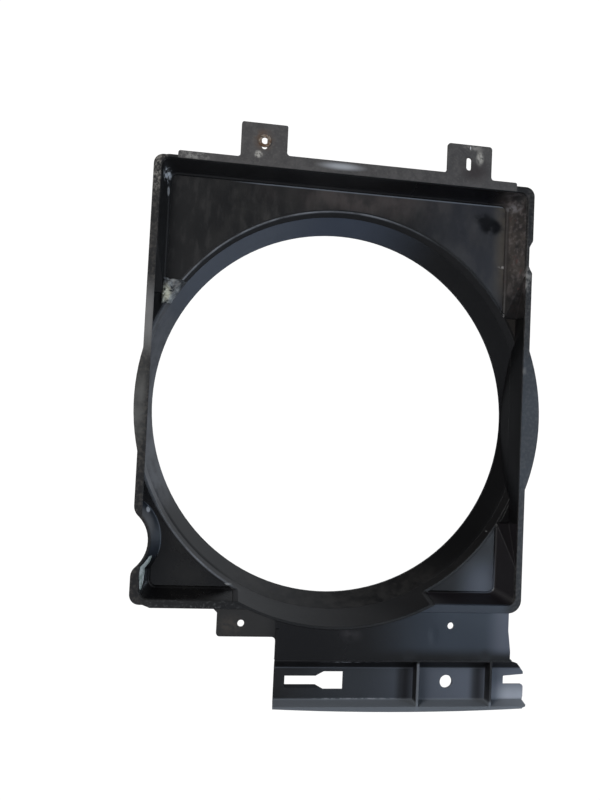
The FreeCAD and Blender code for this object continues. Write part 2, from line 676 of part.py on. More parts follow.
os.makedirs("parts", exist_ok=True)
NODES = (
    front_flange, upper_walls, upper_floor, lower_left_walls, lower_left_floor,
    lower_right_walls, lower_right_floor, left_side_wall, right_side_wall,
    upper_step, lower_step, fan_ring, top_rail, lower_panel, lower_channel,
    upper_left_washer)
for node in NODES:
    shape = node.Shape
    if not shape.isValid() or len(shape.Solids) != 1:
        raise RuntimeError("%s is not one sound solid: %d" % (node.Label, len(shape.Solids)))
    shape.exportStep("parts/%s.step" % node.Label)
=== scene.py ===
import math
import bpy
from mathutils import Matrix, Vector, noise


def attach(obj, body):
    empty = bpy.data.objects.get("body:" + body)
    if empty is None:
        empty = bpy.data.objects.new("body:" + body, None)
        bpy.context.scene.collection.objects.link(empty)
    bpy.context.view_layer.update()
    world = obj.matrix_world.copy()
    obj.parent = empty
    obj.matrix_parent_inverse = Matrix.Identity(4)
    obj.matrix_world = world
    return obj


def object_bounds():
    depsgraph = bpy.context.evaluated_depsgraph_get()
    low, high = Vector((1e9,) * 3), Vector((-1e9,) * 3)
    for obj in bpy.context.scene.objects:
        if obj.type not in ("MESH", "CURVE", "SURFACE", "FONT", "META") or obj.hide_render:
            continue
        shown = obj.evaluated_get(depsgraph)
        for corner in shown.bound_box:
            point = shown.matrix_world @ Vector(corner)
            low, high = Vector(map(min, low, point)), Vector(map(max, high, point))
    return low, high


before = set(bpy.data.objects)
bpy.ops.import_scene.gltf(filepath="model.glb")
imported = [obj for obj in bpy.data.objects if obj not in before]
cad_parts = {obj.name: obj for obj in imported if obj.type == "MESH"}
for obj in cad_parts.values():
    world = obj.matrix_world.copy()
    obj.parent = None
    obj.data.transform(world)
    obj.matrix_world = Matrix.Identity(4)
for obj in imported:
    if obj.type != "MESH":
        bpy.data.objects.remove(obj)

CAD_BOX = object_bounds()
LOWEST = CAD_BOX[0][2]
WHITE = (1.0, 1.0, 1.0)

# all lengths are in metres
FLANGE_Y = -0.073
FLOOR_Y = FLANGE_Y + 0.030
NOTCH = (-0.2766, -0.170)

# --- camera -----------------------------------------------------------------

CAMERA_PLACE = (-0.2798, -1.2533, -0.0526)
CAMERA_PAN = -10.685
CAMERA_TILT = 2.985
CAMERA_ROLL = 2.64
CAMERA_LENS = 58.1

turn = (Matrix.Rotation(math.radians(CAMERA_PAN), 4, "Z")
        @ Matrix.Rotation(math.radians(90.0 + CAMERA_TILT), 4, "X")
        @ Matrix.Rotation(math.radians(CAMERA_ROLL), 4, "Z"))
camera_data = bpy.data.cameras.new("camera")
camera_data.lens = CAMERA_LENS
camera_data.sensor_width = 36.0
camera_data.sensor_fit = "HORIZONTAL"
camera = bpy.data.objects.new("camera", camera_data)
camera.matrix_world = Matrix.Translation(CAMERA_PLACE) @ turn
bpy.context.scene.collection.objects.link(camera)
bpy.context.scene.camera = camera
bpy.context.scene.view_settings.view_transform = "Standard"

# --- light, world and floor -------------------------------------------------

# name, place, aimed at, watts, tint
LAMPS = (
    ("key", (-1.45, -1.70, 0.75), (0.0, 0.0, 0.1), 30.0, WHITE),
    ("window", (1.65, -1.75, -0.30), (0.15, 0.0, -0.20), 27.0, (0.74, 0.86, 1.0)),
)
LAMP_SIZE = 1.0

# the room is bright behind the object and to its right, and dim in front of it
BRIGHT_SIDE = Vector((0.9, 0.44, 0.0))
FACING_DIM, FACING_BRIGHT = -0.10, 0.95
DIM_STRENGTH, BRIGHT_STRENGTH = 0.030, 0.60
ROOM_TINT = (0.90, 0.94, 1.0)

BACKGROUND_STRENGTH = 1.05
FLOOR_REACH = 6.0
FLOOR_PAINT = (0.6, 0.62, 0.66)

for name, place, target, watts, tint in LAMPS:
    lamp_data = bpy.data.lights.new(name, "AREA")
    lamp_data.shape = "DISK"
    lamp_data.size = LAMP_SIZE
    lamp_data.energy = watts
    lamp_data.color = tint
    lamp = bpy.data.objects.new(name, lamp_data)
    aim = Vector(target) - Vector(place)
    lamp.matrix_world = (Matrix.Translation(place)
                         @ aim.to_track_quat("-Z", "Y").to_matrix().to_4x4())
    bpy.context.scene.collection.objects.link(lamp)


def white_to_camera(tree, output_kind, white_kind, shader):
    """Show the camera plain white, and everything else the shader."""
    output = tree.nodes.new(output_kind)
    mix = tree.nodes.new("ShaderNodeMixShader")
    seen = tree.nodes.new("ShaderNodeLightPath")
    white = tree.nodes.new(white_kind)
    white.inputs["Color"].default_value = (*WHITE, 1.0)
    white.inputs["Strength"].default_value = BACKGROUND_STRENGTH
    tree.links.new(seen.outputs["Is Camera Ray"], mix.inputs[0])
    tree.links.new(shader.outputs[0], mix.inputs[1])
    tree.links.new(white.outputs[0], mix.inputs[2])
    tree.links.new(mix.outputs[0], output.inputs["Surface"])


world = bpy.data.worlds.new("studio")
bpy.context.scene.world = world
world.use_nodes = True
tree = world.node_tree
tree.nodes.clear()
heading = tree.nodes.new("ShaderNodeTexCoord")
facing = tree.nodes.new("ShaderNodeVectorMath")
facing.operation = "DOT_PRODUCT"
facing.inputs[1].default_value = BRIGHT_SIDE
strength = tree.nodes.new("ShaderNodeMapRange")
strength.interpolation_type = "SMOOTHSTEP"
strength.inputs["From Min"].default_value = FACING_DIM
strength.inputs["From Max"].default_value = FACING_BRIGHT
strength.inputs["To Min"].default_value = DIM_STRENGTH
strength.inputs["To Max"].default_value = BRIGHT_STRENGTH
room = tree.nodes.new("ShaderNodeBackground")
room.inputs["Color"].default_value = (*ROOM_TINT, 1.0)
tree.links.new(heading.outputs["Generated"], facing.inputs[0])
tree.links.new(facing.outputs["Value"], strength.inputs["Value"])
tree.links.new(strength.outputs[0], room.inputs["Strength"])
white_to_camera(tree, "ShaderNodeOutputWorld", "ShaderNodeBackground", room)

floor_mesh = bpy.data.meshes.new("floor")
floor_mesh.from_pydata(
    [(-FLOOR_REACH, -FLOOR_REACH, LOWEST), (FLOOR_REACH, -FLOOR_REACH, LOWEST),
     (FLOOR_REACH, FLOOR_REACH, LOWEST), (-FLOOR_REACH, FLOOR_REACH, LOWEST)],
    [], [(0, 1, 2, 3)])
floor = bpy.data.objects.new("floor", floor_mesh)
bpy.context.scene.collection.objects.link(floor)
paint = bpy.data.materials.new("floor_paint")
paint.use_nodes = True
tree = paint.node_tree
tree.nodes.clear()
matt = tree.nodes.new("ShaderNodeBsdfDiffuse")
matt.inputs["Color"].default_value = (*FLOOR_PAINT, 1.0)
white_to_camera(tree, "ShaderNodeOutputMaterial", "ShaderNodeEmission", matt)
floor_mesh.materials.append(paint)

# --- materials --------------------------------------------------------------

BEVEL_SAMPLES = 4


class Surface:
    """A material laid on in coats, of wear and of painted light and shade; places and sizes are in
    metres.
    """

    def __init__(self, name, colour, roughness):
        self.material = bpy.data.materials.new(name)
        self.material.use_nodes = True
        self.tree = self.material.node_tree
        self.shader = self.tree.nodes["Principled BSDF"]
        self.place = self.tree.nodes.new("ShaderNodeTexCoord").outputs["Object"]
        axes = self.node("SeparateXYZ", Vector=self.place).outputs
        self.axes = {"x": axes[0], "y": axes[1], "z": axes[2]}
        self.colour = (*colour, 1.0)
        self.roughness = roughness
        self.height = None

    def node(self, kind, settings=(), **inputs):
        made = self.tree.nodes.new("ShaderNode" + kind)
        for key, value in settings:
            setattr(made, key, value)
        for key, value in inputs.items():
            self.feed(made.inputs[key.replace("_", " ")], value)
        return made

    def feed(self, socket, value):
        if isinstance(value, bpy.types.NodeSocket):
            self.tree.links.new(value, socket)
        else:
            socket.default_value = value

    def maths(self, operation, first, second):
        made = self.tree.nodes.new("ShaderNodeMath")
        made.operation = operation
        self.feed(made.inputs[0], first)
        self.feed(made.inputs[1], second)
        return made.outputs[0]

    def times(self, *values):
        result = values[0]
        for value in values[1:]:
            result = self.maths("MULTIPLY", result, value)
        return result

    def fade(self, value, start, end):
        """0 at start and 1 at end, with soft shoulders."""
        made = self.node("MapRange", [("interpolation_type", "SMOOTHSTEP")])
        self.feed(made.inputs["Value"], value)
        self.feed(made.inputs["From Min"], start)
        self.feed(made.inputs["From Max"], end)
        return made.outputs[0]

    def along(self, axis, start, end):
        return self.fade(self.axes[axis], start, end)

    def between(self, axis, low, high, soft):
        return self.times(self.along(axis, low - soft, low + soft),
                          self.along(axis, high + soft, high - soft))

    def ring(self, inner, outer, soft, centre=(0.0, 0.0)):
        """1 between two radii about an axis along Y, by default the fan's."""
        across = self.maths("SUBTRACT", self.axes["x"], centre[0])
        up = self.maths("SUBTRACT", self.axes["z"], centre[1])
        squares = self.maths("ADD", self.times(across, across), self.times(up, up))
        radius = self.maths("POWER", squares, 0.5)
        return self.times(self.fade(radius, inner - soft, inner + soft),
                          self.fade(radius, outer + soft, outer - soft))

    def blotches(self, size, low, high, stretch=(1.0, 1.0, 1.0), detail=5.0, seed=0.0):
        """Random patches about as large as size, 0 below low and 1 above high."""
        moved = self.node("Mapping", Vector=self.place, Scale=stretch,
                          Location=(seed, seed * 0.7, -seed))
        cloud = self.node("TexNoise", Vector=moved.outputs[0], Scale=0.5 / size,
                          Detail=detail, Roughness=0.6)
        return self.fade(cloud.outputs["Fac"], low, high)

    def spot(self, centre, radii, soft=0.5):
        """1 inside an ellipsoid, fading to 0 at its surface."""
        away = self.node("VectorMath", [("operation", "SUBTRACT")])
        self.feed(away.inputs[0], self.place)
        self.feed(away.inputs[1], centre)
        scaled = self.node("VectorMath", [("operation", "DIVIDE")])
        self.feed(scaled.inputs[0], away.outputs[0])
        self.feed(scaled.inputs[1], radii)
        size = self.node("VectorMath", [("operation", "LENGTH")])
        self.feed(size.inputs[0], scaled.outputs[0])
        return self.fade(size.outputs["Value"], 1.0, 1.0 - soft)

    def coat(self, colour, roughness, *masks):
        """Lay a colour over what is there, as thick as the product of the masks."""
        thickness = self.times(*masks)
        mixed = self.node("Mix", [("data_type", "RGBA")])
        self.feed(mixed.inputs[0], thickness)
        self.feed(mixed.inputs[6], self.colour)
        self.feed(mixed.inputs[7], (*colour, 1.0))
        self.colour = mixed.outputs[2]
        rough = self.node("Mix")
        self.feed(rough.inputs[0], thickness)
        self.feed(rough.inputs[2], self.roughness)
        self.feed(rough.inputs[3], roughness)
        self.roughness = rough.outputs[0]

    def relief(self, mask, height):
        """Raise the surface by height in metres where the mask is 1."""
        raised = self.times(mask, height)
        self.height = raised if self.height is None else self.maths("ADD", self.height, raised)

    def done(self, edge_radius=0.0):
        self.feed(self.shader.inputs["Base Color"], self.colour)
        self.feed(self.shader.inputs["Roughness"], self.roughness)
        bump = self.node("Bump", Strength=1.0, Distance=1.0)
        self.feed(bump.inputs["Height"], self.height)
        if edge_radius:
            edge = self.node("Bevel", [("samples", BEVEL_SAMPLES)], Radius=edge_radius)
            self.feed(bump.inputs["Normal"], edge.outputs[0])
        self.feed(self.shader.inputs["Normal"], bump.outputs[0])
        return self.material


BLACK = (0.0045, 0.0043, 0.0048)
DUST = (0.046, 0.043, 0.040)
PALE = (0.330, 0.320, 0.300)
# painted bluish sheen, a reflection of the bluish light from the right
BLUE_SHEEN = (0.050, 0.066, 0.092)
# painted shade for creases and recessed walls
CREASE_SHADE = (0.0025, 0.0025, 0.003)
# painted shade for surfaces on the right that the light leaves dark
RIGHT_SHADE = (0.0020, 0.0019, 0.0022)
RIB_DARK = (0.003, 0.003, 0.004)
SCUFF = (0.42, 0.40, 0.36)

GRAIN_SIZE, GRAIN_HEIGHT = 0.0007, 0.000010
WAVE_SIZE, WAVE_HEIGHT = 0.035, 0.0006
EDGE = 0.0012

# inner radius, outer radius and softness, about the fan axis
CREST = (0.2570, 0.2592, 0.0006)
CREASE = (0.2485, 0.2530, 0.0012)
FUNNEL_TOP = (0.2505, 0.2560, 0.0012)


def moulding(name, dust, roughness=0.42):
    """Black moulded plastic with grain, waviness, scratches and a film of dust."""
    plastic = Surface(name, BLACK, roughness)
    cloud = plastic.blotches(0.030, 0.25, 0.75)
    plastic.coat(DUST, 0.60, cloud, dust)
    speck = plastic.blotches(0.0018, 0.52, 0.70, seed=3.0)
    plastic.coat(DUST, 0.7, speck, cloud, min(1.0, dust * 0.9))
    scratch = plastic.blotches(0.0010, 0.66, 0.76, (0.08, 1.0, 1.0), 2.0, 7.0)
    streaks = plastic.blotches(0.014, 0.52, 0.66, seed=11.0)
    plastic.coat(PALE, 0.6, scratch, streaks, 0.08)
    plastic.relief(plastic.blotches(GRAIN_SIZE, 0.30, 0.70, seed=1.0), GRAIN_HEIGHT)
    plastic.relief(plastic.blotches(WAVE_SIZE, 0.20, 0.80, detail=1.0, seed=5.0), WAVE_HEIGHT)
    return plastic


def use(material, *names):
    for name in names:
        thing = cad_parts[name]
        if not thing.material_slots:
            thing.data.materials.append(material)
        for slot in thing.material_slots:
            slot.material = material


def beside_floors(plastic):
    """0 at the bottom, where the funnel runs straight down to the flange, and 1 elsewhere."""
    away = plastic.maths("ABSOLUTE", plastic.axes["x"], 0.0)
    low = plastic.times(plastic.fade(away, 0.150, 0.110), plastic.along("z", 0.0, -0.10))
    return plastic.maths("SUBTRACT", 1.0, low)


def crest_highlight(plastic, strength):
    """Painted highlight along the ridge where a corner floor meets the funnel, broken up in
    patches.
    """
    patchy = plastic.times(plastic.blotches(0.020, 0.25, 0.60, seed=21.0),
                           plastic.along("x", 0.14, 0.03))
    plastic.coat((0.20, 0.21, 0.23), 0.4, plastic.ring(*CREST), patchy, beside_floors(plastic),
                 strength)


def left_sheen(plastic):
    """The painted pale sheen on the left flank of the funnel."""
    plastic.coat((0.145, 0.147, 0.156), 0.4, plastic.along("x", -0.185, -0.225),
                 plastic.between("z", -0.125, 0.125, 0.025),
                 plastic.blotches(0.009, 0.05, 0.65, seed=31.0), 0.9)


flange = moulding("flange_plastic", 0.25)
# worn dust down both sides
worn = flange.blotches(0.0020, 0.44, 0.66, seed=2.0)
flange.coat((0.090, 0.078, 0.066), 0.65, flange.along("x", -0.236, -0.246), worn, 0.40)
flange.coat((0.110, 0.100, 0.096), 0.65, flange.along("x", 0.228, 0.238), worn, 0.35)
# a paler band on the left side, and a greyer one lower down
flange.coat((0.165, 0.160, 0.155), 0.6, flange.between("z", 0.065, 0.135, 0.025),
            flange.along("x", -0.236, -0.246), flange.blotches(0.010, 0.05, 0.40, seed=18.0))
flange.coat((0.088, 0.086, 0.080), 0.6, flange.between("z", -0.050, 0.030, 0.025),
            flange.along("x", -0.243, -0.252), flange.blotches(0.012, 0.25, 0.65, seed=4.0))
# pale rubs beside the dip and the right ear
flange.coat(PALE, 0.55, flange.spot((0.2385, FLANGE_Y, 0.184), (0.007, 0.010, 0.020)),
            flange.blotches(0.005, 0.35, 0.60, seed=6.0), 0.6)
flange.coat(PALE, 0.55, flange.spot((0.238, FLANGE_Y, 0.064), (0.004, 0.010, 0.007), 0.8), 0.35)
# rub at the upper left corner, and fine scratches at the lower left
flange.coat((0.26, 0.24, 0.21), 0.6,
            flange.spot((-0.246, FLANGE_Y, 0.285), (0.016, 0.010, 0.045), 0.8),
            flange.blotches(0.0016, 0.45, 0.62, seed=8.0), 0.7)
flange.coat((0.14, 0.14, 0.14), 0.6, flange.along("z", -0.236, -0.243),
            flange.along("x", -0.10, -0.15), flange.blotches(0.0016, 0.52, 0.66, seed=9.0), 0.45)
# painted bluish sheen on the right ear and on the lower right edge
flange.coat(BLUE_SHEEN, 0.45, flange.along("x", 0.225, 0.240),
            flange.between("z", -0.09, 0.09, 0.02), 0.25)
flange.coat((0.044, 0.056, 0.078), 0.4, flange.along("z", -0.2375, -0.2385),
            flange.along("x", 0.085, 0.105), flange.along("x", 0.235, 0.215), 0.7)
use(flange.done(EDGE), "front_flange")

rail = moulding("rail_plastic", 0.55, 0.5)
rail.coat((0.080, 0.074, 0.073), 0.6, 0.65)
rail.coat((0.120, 0.112, 0.106), 0.6, rail.blotches(0.0045, 0.35, 0.70, seed=2.0), 0.40)
rail.coat((0.130, 0.122, 0.112), 0.6, rail.blotches(0.0015, 0.50, 0.66, seed=22.0), 0.35)
# rust round the washer
rail.coat((0.115, 0.070, 0.045), 0.75,
          rail.spot((-0.1180, FLANGE_Y, 0.3320), (0.017, 0.02, 0.018), 0.7),
          rail.blotches(0.004, 0.30, 0.60, seed=12.0), 0.75)
# scuffs under the washer and on the right tab
rail.coat(SCUFF, 0.5, rail.spot((-0.124, FLANGE_Y, 0.3135), (0.0065, 0.01, 0.0060), 0.6),
          rail.blotches(0.0014, 0.36, 0.56, seed=33.0))
rail.coat(SCUFF, 0.5, rail.spot((0.1665, FLANGE_Y, 0.337), (0.0070, 0.01, 0.0135), 0.8),
          rail.blotches(0.0020, 0.30, 0.56, seed=14.0))
rail.coat((0.34, 0.32, 0.29), 0.5, rail.spot((0.1580, FLANGE_Y, 0.350), (0.018, 0.01, 0.006), 0.8),
          rail.blotches(0.0025, 0.38, 0.58, seed=24.0), 0.6)
rail.coat((0.65, 0.65, 0.65), 0.4,
          rail.spot((0.1530, FLANGE_Y, 0.3498), (0.0009, 0.01, 0.0030), 0.6))
# soot on the right tab, a rub at the left end, a glare between the tabs
rail.coat((0.030, 0.022, 0.022), 0.7,
          rail.spot((0.160, FLANGE_Y, 0.320), (0.026, 0.01, 0.020), 0.9), 0.85)
rail.coat((0.30, 0.29, 0.27), 0.6, rail.spot((-0.205, FLANGE_Y, 0.304), (0.030, 0.01, 0.010), 0.9),
          rail.blotches(0.0018, 0.42, 0.60, seed=15.0), 0.75)
rail.coat((0.42, 0.43, 0.45), 0.4,
          rail.spot((-0.017, FLANGE_Y, 0.3085), (0.038, 0.02, 0.0065), 0.9), 0.85)
use(rail.done(EDGE), "top_rail")

walls = moulding("wall_plastic", 0.15)
# rust, dirt and soot on the right wall
stained = walls.times(walls.along("x", 0.185, 0.225), walls.along("z", 0.125, 0.215))
walls.coat((0.062, 0.050, 0.042), 0.75, stained, walls.blotches(0.014, 0.28, 0.62, seed=2.0), 0.85)
walls.coat((0.150, 0.128, 0.128), 0.7, stained, walls.blotches(0.0035, 0.44, 0.70, seed=3.0), 0.60)
walls.coat((0.110, 0.035, 0.030), 0.7, stained, walls.blotches(0.007, 0.60, 0.70, seed=13.0), 0.6)
walls.coat((0.012, 0.009, 0.009), 0.6, stained, walls.blotches(0.009, 0.55, 0.68, seed=7.0), 0.8)
walls.coat((0.020, 0.016, 0.014), 0.7, stained, walls.along("y", -0.0480, -0.0455), 0.85)
# painted pale sheen on the left wall
walls.coat((0.120, 0.125, 0.140), 0.4, walls.along("x", -0.20, -0.21),
           walls.between("z", 0.05, 0.125, 0.01), 0.9)
# dirt and glare in the upper corners
walls.coat((0.20, 0.19, 0.20), 0.6, walls.spot((0.222, -0.055, 0.281), (0.016, 0.02, 0.008), 0.8),
           walls.blotches(0.004, 0.35, 0.55, seed=9.0), 0.7)
walls.coat((0.66, 0.68, 0.70), 0.3, walls.spot((-0.2335, -0.056, 0.281), (0.0085, 0.022, 0.0115)),
           walls.blotches(0.0030, 0.44, 0.60, seed=4.0))
walls.coat((0.5, 0.5, 0.5), 0.4, walls.spot((-0.2312, -0.046, 0.2635), (0.0022, 0.010, 0.0075)),
           0.6)
# painted shade on the top wall under the rail, dark and glossy
walls.coat((0.0022, 0.0019, 0.0028), 0.24, walls.along("x", -0.05, 0.10),
           walls.along("x", 0.215, 0.195), walls.along("z", 0.284, 0.287), 0.85)
use(walls.done(EDGE), "upper_walls")

ceiling = moulding("upper_floor_plastic", 0.08, 0.40)
# cloudy haze, denser in the middle
haze = ceiling.blotches(0.013, 0.40, 0.64, (1.0, 1.0, 0.50), seed=2.0)
ceiling.coat((0.046, 0.042, 0.036), 0.6, haze, ceiling.along("x", -0.22, -0.10), 0.30)
ceiling.coat((0.080, 0.062, 0.057), 0.6,
             ceiling.blotches(0.022, 0.35, 0.60, (1.0, 1.0, 0.6), seed=6.0),
             ceiling.spot((0.02, FLOOR_Y, 0.278), (0.17, 0.03, 0.040), 1.0), 0.55)
ceiling.coat((0.075, 0.068, 0.064), 0.6,
             ceiling.blotches(0.006, 0.48, 0.66, (1.0, 1.0, 0.35), seed=8.0), 0.14)
ceiling.coat((0.006, 0.006, 0.006), 0.45,
             ceiling.blotches(0.016, 0.45, 0.60, (1.0, 1.0, 0.7), seed=16.0),
             ceiling.along("x", -0.20, -0.10), 0.55)
# painted bluish sheen and dust to the right, dirt down the right edge
ceiling.coat((0.056, 0.058, 0.078), 0.45, ceiling.along("x", 0.06, 0.17), 0.22)
ceiling.coat(DUST, 0.5, ceiling.along("x", 0.06, 0.17), haze, 0.12)
ceiling.coat((0.003, 0.003, 0.003), 0.6, ceiling.along("x", 0.18, 0.20),
             ceiling.along("z", 0.142, 0.132))
ceiling.coat((0.082, 0.070, 0.056), 0.75, ceiling.along("x", 0.196, 0.216),
             ceiling.along("z", 0.140, 0.20), ceiling.blotches(0.010, 0.22, 0.55, seed=4.0), 0.85)
# the dark smudge and the scratch beside it
torn = ceiling.blotches(0.009, 0.26, 0.46, seed=51.0)
ceiling.coat((0.002, 0.002, 0.003), 0.3,
             ceiling.spot((0.197, FLOOR_Y, 0.257), (0.020, 0.02, 0.014), 0.5), torn)
ceiling.coat((0.004, 0.004, 0.005), 0.3,
             ceiling.spot((0.186, FLOOR_Y, 0.266), (0.019, 0.02, 0.012), 0.8), torn)
ceiling.coat((0.016, 0.013, 0.011), 0.8, ceiling.along("x", 0.2150, 0.2175), 0.9)
ceiling.coat((0.42, 0.40, 0.38), 0.5,
             ceiling.spot((0.222, FLOOR_Y, 0.2036), (0.016, 0.02, 0.0030), 0.8),
             ceiling.blotches(0.0022, 0.36, 0.52, seed=5.0))
# painted highlight along the top edge
ceiling.coat((0.17, 0.19, 0.22), 0.35, ceiling.between("z", 0.2838, 0.2860, 0.0008),
             ceiling.along("x", -0.16, -0.10), 0.7)
crest_highlight(ceiling, 0.85)
use(ceiling.done(EDGE), "upper_floor")

pocket = moulding("lower_left_plastic", 0.02, 0.24)
pocket.coat((0.030, 0.028, 0.024), 0.5, pocket.blotches(0.022, 0.35, 0.65, seed=2.0),
            pocket.along("x", -0.225, -0.185), 0.25)
# the bright spot above the notch
pocket.coat((0.80, 0.81, 0.83), 0.25,
            pocket.spot((-0.2350, -0.052, -0.1325), (0.0034, 0.012, 0.0042), 0.4))
crest_highlight(pocket, 0.7)
# painted bluish sheen on the notch wall, painted highlight on the foot of it
pocket.coat(BLUE_SHEEN, 0.4, pocket.ring(0.040, 0.0575, 0.001, NOTCH),
            pocket.along("z", -0.200, -0.180), 0.35)
pocket.coat((0.15, 0.17, 0.20), 0.35, pocket.ring(0.0578, 0.0592, 0.0005, NOTCH),
            pocket.between("z", -0.186, -0.125, 0.005), 0.8)
use(pocket.done(EDGE), "lower_left_walls", "lower_left_floor")

corner = moulding("lower_right_plastic", 0.08, 0.28)
# dark walls, and a painted bluish sheen on the floor, brightest towards the lower right
corner.coat((0.0064, 0.0048, 0.0064), 0.5, corner.along("y", -0.0434, -0.0440))
corner.coat((0.086, 0.098, 0.126), 0.4,
            corner.spot((0.208, FLOOR_Y, -0.220), (0.052, 0.03, 0.054), 1.0),
            corner.along("y", -0.0440, -0.0434))
crest_highlight(corner, 0.3)
use(corner.done(EDGE), "lower_right_walls", "lower_right_floor")

side = moulding("side_wall_plastic", 0.15, 0.38)
# painted shade to the right, painted sheen to the left
side.coat(RIGHT_SHADE, 0.28, side.along("x", 0.1, 0.2))
side.coat(BLUE_SHEEN, 0.4, side.along("x", -0.2, -0.21), 0.45)
side.coat((0.105, 0.110, 0.125), 0.4, side.along("x", -0.2, -0.21),
          side.between("z", -0.12, 0.13, 0.02), 0.9)
use(side.done(EDGE), "left_side_wall", "right_side_wall")

step = moulding("step_plastic", 0.16, 0.42)
# painted shade in the crease
step.coat(CREASE_SHADE, 0.7, step.ring(*CREASE), beside_floors(step))
crest_highlight(step, 0.8)
# glints
step.coat((0.40, 0.40, 0.40), 0.3,
          step.spot((-0.1333, -0.037, -0.2227), (0.008, 0.012, 0.0022), 0.8))
step.coat((0.7, 0.7, 0.7), 0.4, step.spot((0.2086, -0.031, -0.1479), (0.0018, 0.008, 0.0014), 0.4))
step.coat((0.6, 0.6, 0.6), 0.4, step.spot((0.2258, -0.031, -0.1355), (0.0016, 0.008, 0.0012), 0.4))
left_sheen(step)
use(step.done(EDGE), "upper_step", "lower_step")

funnel = moulding("funnel_plastic", 0.12, 0.34)
# painted shade along the crease at the funnel's top
funnel.coat(CREASE_SHADE, 0.7, funnel.ring(*FUNNEL_TOP), beside_floors(funnel), 0.8)
# painted bluish sheen on the upper funnel, paler to the left
funnel.coat((0.072, 0.087, 0.118), 0.4, funnel.along("z", 0.05, 0.20),
            funnel.along("x", 0.14, 0.0), 0.9)
funnel.coat((0.130, 0.142, 0.165), 0.4, funnel.along("z", 0.05, 0.16),
            funnel.along("x", 0.0, -0.12), 0.8)
# painted shade on the right part of the funnel
funnel.coat((0.0025, 0.0024, 0.0027), 0.30, funnel.along("x", 0.10, 0.20), 0.75)
funnel.coat(DUST, 0.5, funnel.along("z", -0.18, -0.23), funnel.blotches(0.006, 0.3, 0.7, seed=9.0),
            0.45)
left_sheen(funnel)
use(funnel.done(EDGE), "fan_ring")

panel = moulding("panel_plastic", 0.06, 0.28)
panel.coat(DUST, 0.6, panel.along("x", -0.06, -0.09), 0.45)
# painted shade, dark and glossy, across the left middle of the panel
panel.coat((0.0028, 0.0026, 0.0034), 0.23, panel.along("x", 0.05, -0.03),
           panel.along("x", -0.0770, -0.0735), 0.8)
# painted bluish sheen on the right half, and a painted glare at the far right
panel.coat(BLUE_SHEEN, 0.36, panel.along("x", 0.03, 0.15), panel.along("z", -0.306, -0.290), 0.62)
panel.coat((0.125, 0.135, 0.172), 0.4, panel.along("x", 0.195, 0.225),
           panel.along("z", -0.306, -0.290), 0.70)
# dark marks above the two ribs, then stains
panel.coat(RIB_DARK, 0.6, panel.spot((0.097, FLANGE_Y, -0.304), (0.011, 0.02, 0.012), 0.9), 0.8)
panel.coat(RIB_DARK, 0.6, panel.spot((0.198, FLANGE_Y, -0.303), (0.011, 0.02, 0.012), 0.9), 0.8)
panel.coat((0.070, 0.062, 0.066), 0.6,
           panel.spot((0.021, FLANGE_Y, -0.278), (0.020, 0.01, 0.013), 0.9),
           panel.blotches(0.007, 0.35, 0.70, seed=42.0), 0.4)
panel.coat((0.060, 0.048, 0.038), 0.7,
           panel.spot((-0.130, FLANGE_Y, -0.268), (0.022, 0.01, 0.017), 0.9),
           panel.blotches(0.003, 0.35, 0.62, seed=3.0), 0.7)
panel.relief(panel.spot((0.128, FLANGE_Y, -0.277), (0.009, 0.02, 0.016), 1.0), -0.0004)
use(panel.done(EDGE), "lower_panel")

channel = moulding("channel_plastic", 0.16, 0.36)
on_floor = channel.along("y", -0.0575, -0.0560)
# painted bluish sheen, brighter to the right, and a painted glare at the right end
channel.coat((0.062, 0.072, 0.088), 0.4, channel.along("x", -0.09, 0.02), on_floor, 0.35)
channel.coat((0.135, 0.152, 0.190), 0.4, channel.along("x", 0.02, 0.20), on_floor, 0.80)
channel.coat((0.42, 0.44, 0.49), 0.4, channel.along("x", 0.200, 0.240),
             channel.along("z", -0.332, -0.358))
# dark beside the ribs, a painted highlight on the front edge of the first
channel.coat((0.006, 0.006, 0.008), 0.5, channel.between("x", 0.088, 0.104, 0.005), on_floor, 0.75)
channel.coat((0.012, 0.012, 0.014), 0.5, channel.between("x", 0.187, 0.201, 0.005), on_floor, 0.70)
channel.coat((0.17, 0.18, 0.20), 0.4, channel.between("x", 0.1075, 0.1125, 0.0006),
             channel.along("y", -0.0700, -0.0722), channel.along("z", -0.3120, -0.3150), 0.8)
# painted shade on the upper wall, a painted highlight at its foot, and the lower wall painted
# light
channel.coat((0.13, 0.14, 0.16), 0.4, channel.between("z", -0.3228, -0.3212, 0.0006), on_floor,
             0.6)
channel.coat(CREASE_SHADE, 0.5, channel.between("y", -0.0705, -0.0585, 0.001),
             channel.along("z", -0.3230, -0.3215), 0.7)
channel.coat((0.170, 0.185, 0.205), 0.45, channel.along("z", -0.3590, -0.3625), 0.90)
# broken glints along both walls
channel.coat((0.45, 0.46, 0.48), 0.3, channel.between("z", -0.3132, -0.3122, 0.0005),
             channel.along("x", -0.02, 0.01), channel.along("x", 0.062, 0.045),
             channel.blotches(0.004, 0.40, 0.60, seed=6.0))
channel.coat((0.30, 0.31, 0.33), 0.3, channel.between("z", -0.3612, -0.3600, 0.0006),
             channel.along("x", -0.03, 0.0), channel.along("x", 0.095, 0.06),
             channel.blotches(0.004, 0.40, 0.60, seed=2.0))
use(channel.done(EDGE), "lower_channel")

steel = Surface("rusty_washer", (0.30, 0.25, 0.20), 0.45)
steel.shader.inputs["Metallic"].default_value = 0.4
steel.coat((0.150, 0.085, 0.050), 0.85, steel.blotches(0.0030, 0.38, 0.60))
steel.coat((0.050, 0.030, 0.020), 0.9, steel.blotches(0.0012, 0.54, 0.66, seed=2.0))
steel.relief(steel.blotches(0.0010, 0.30, 0.70, seed=3.0), 0.00012)
use(steel.done(0.0003), "upper_left_washer")

# --- sealer patches ---------------------------------------------------------


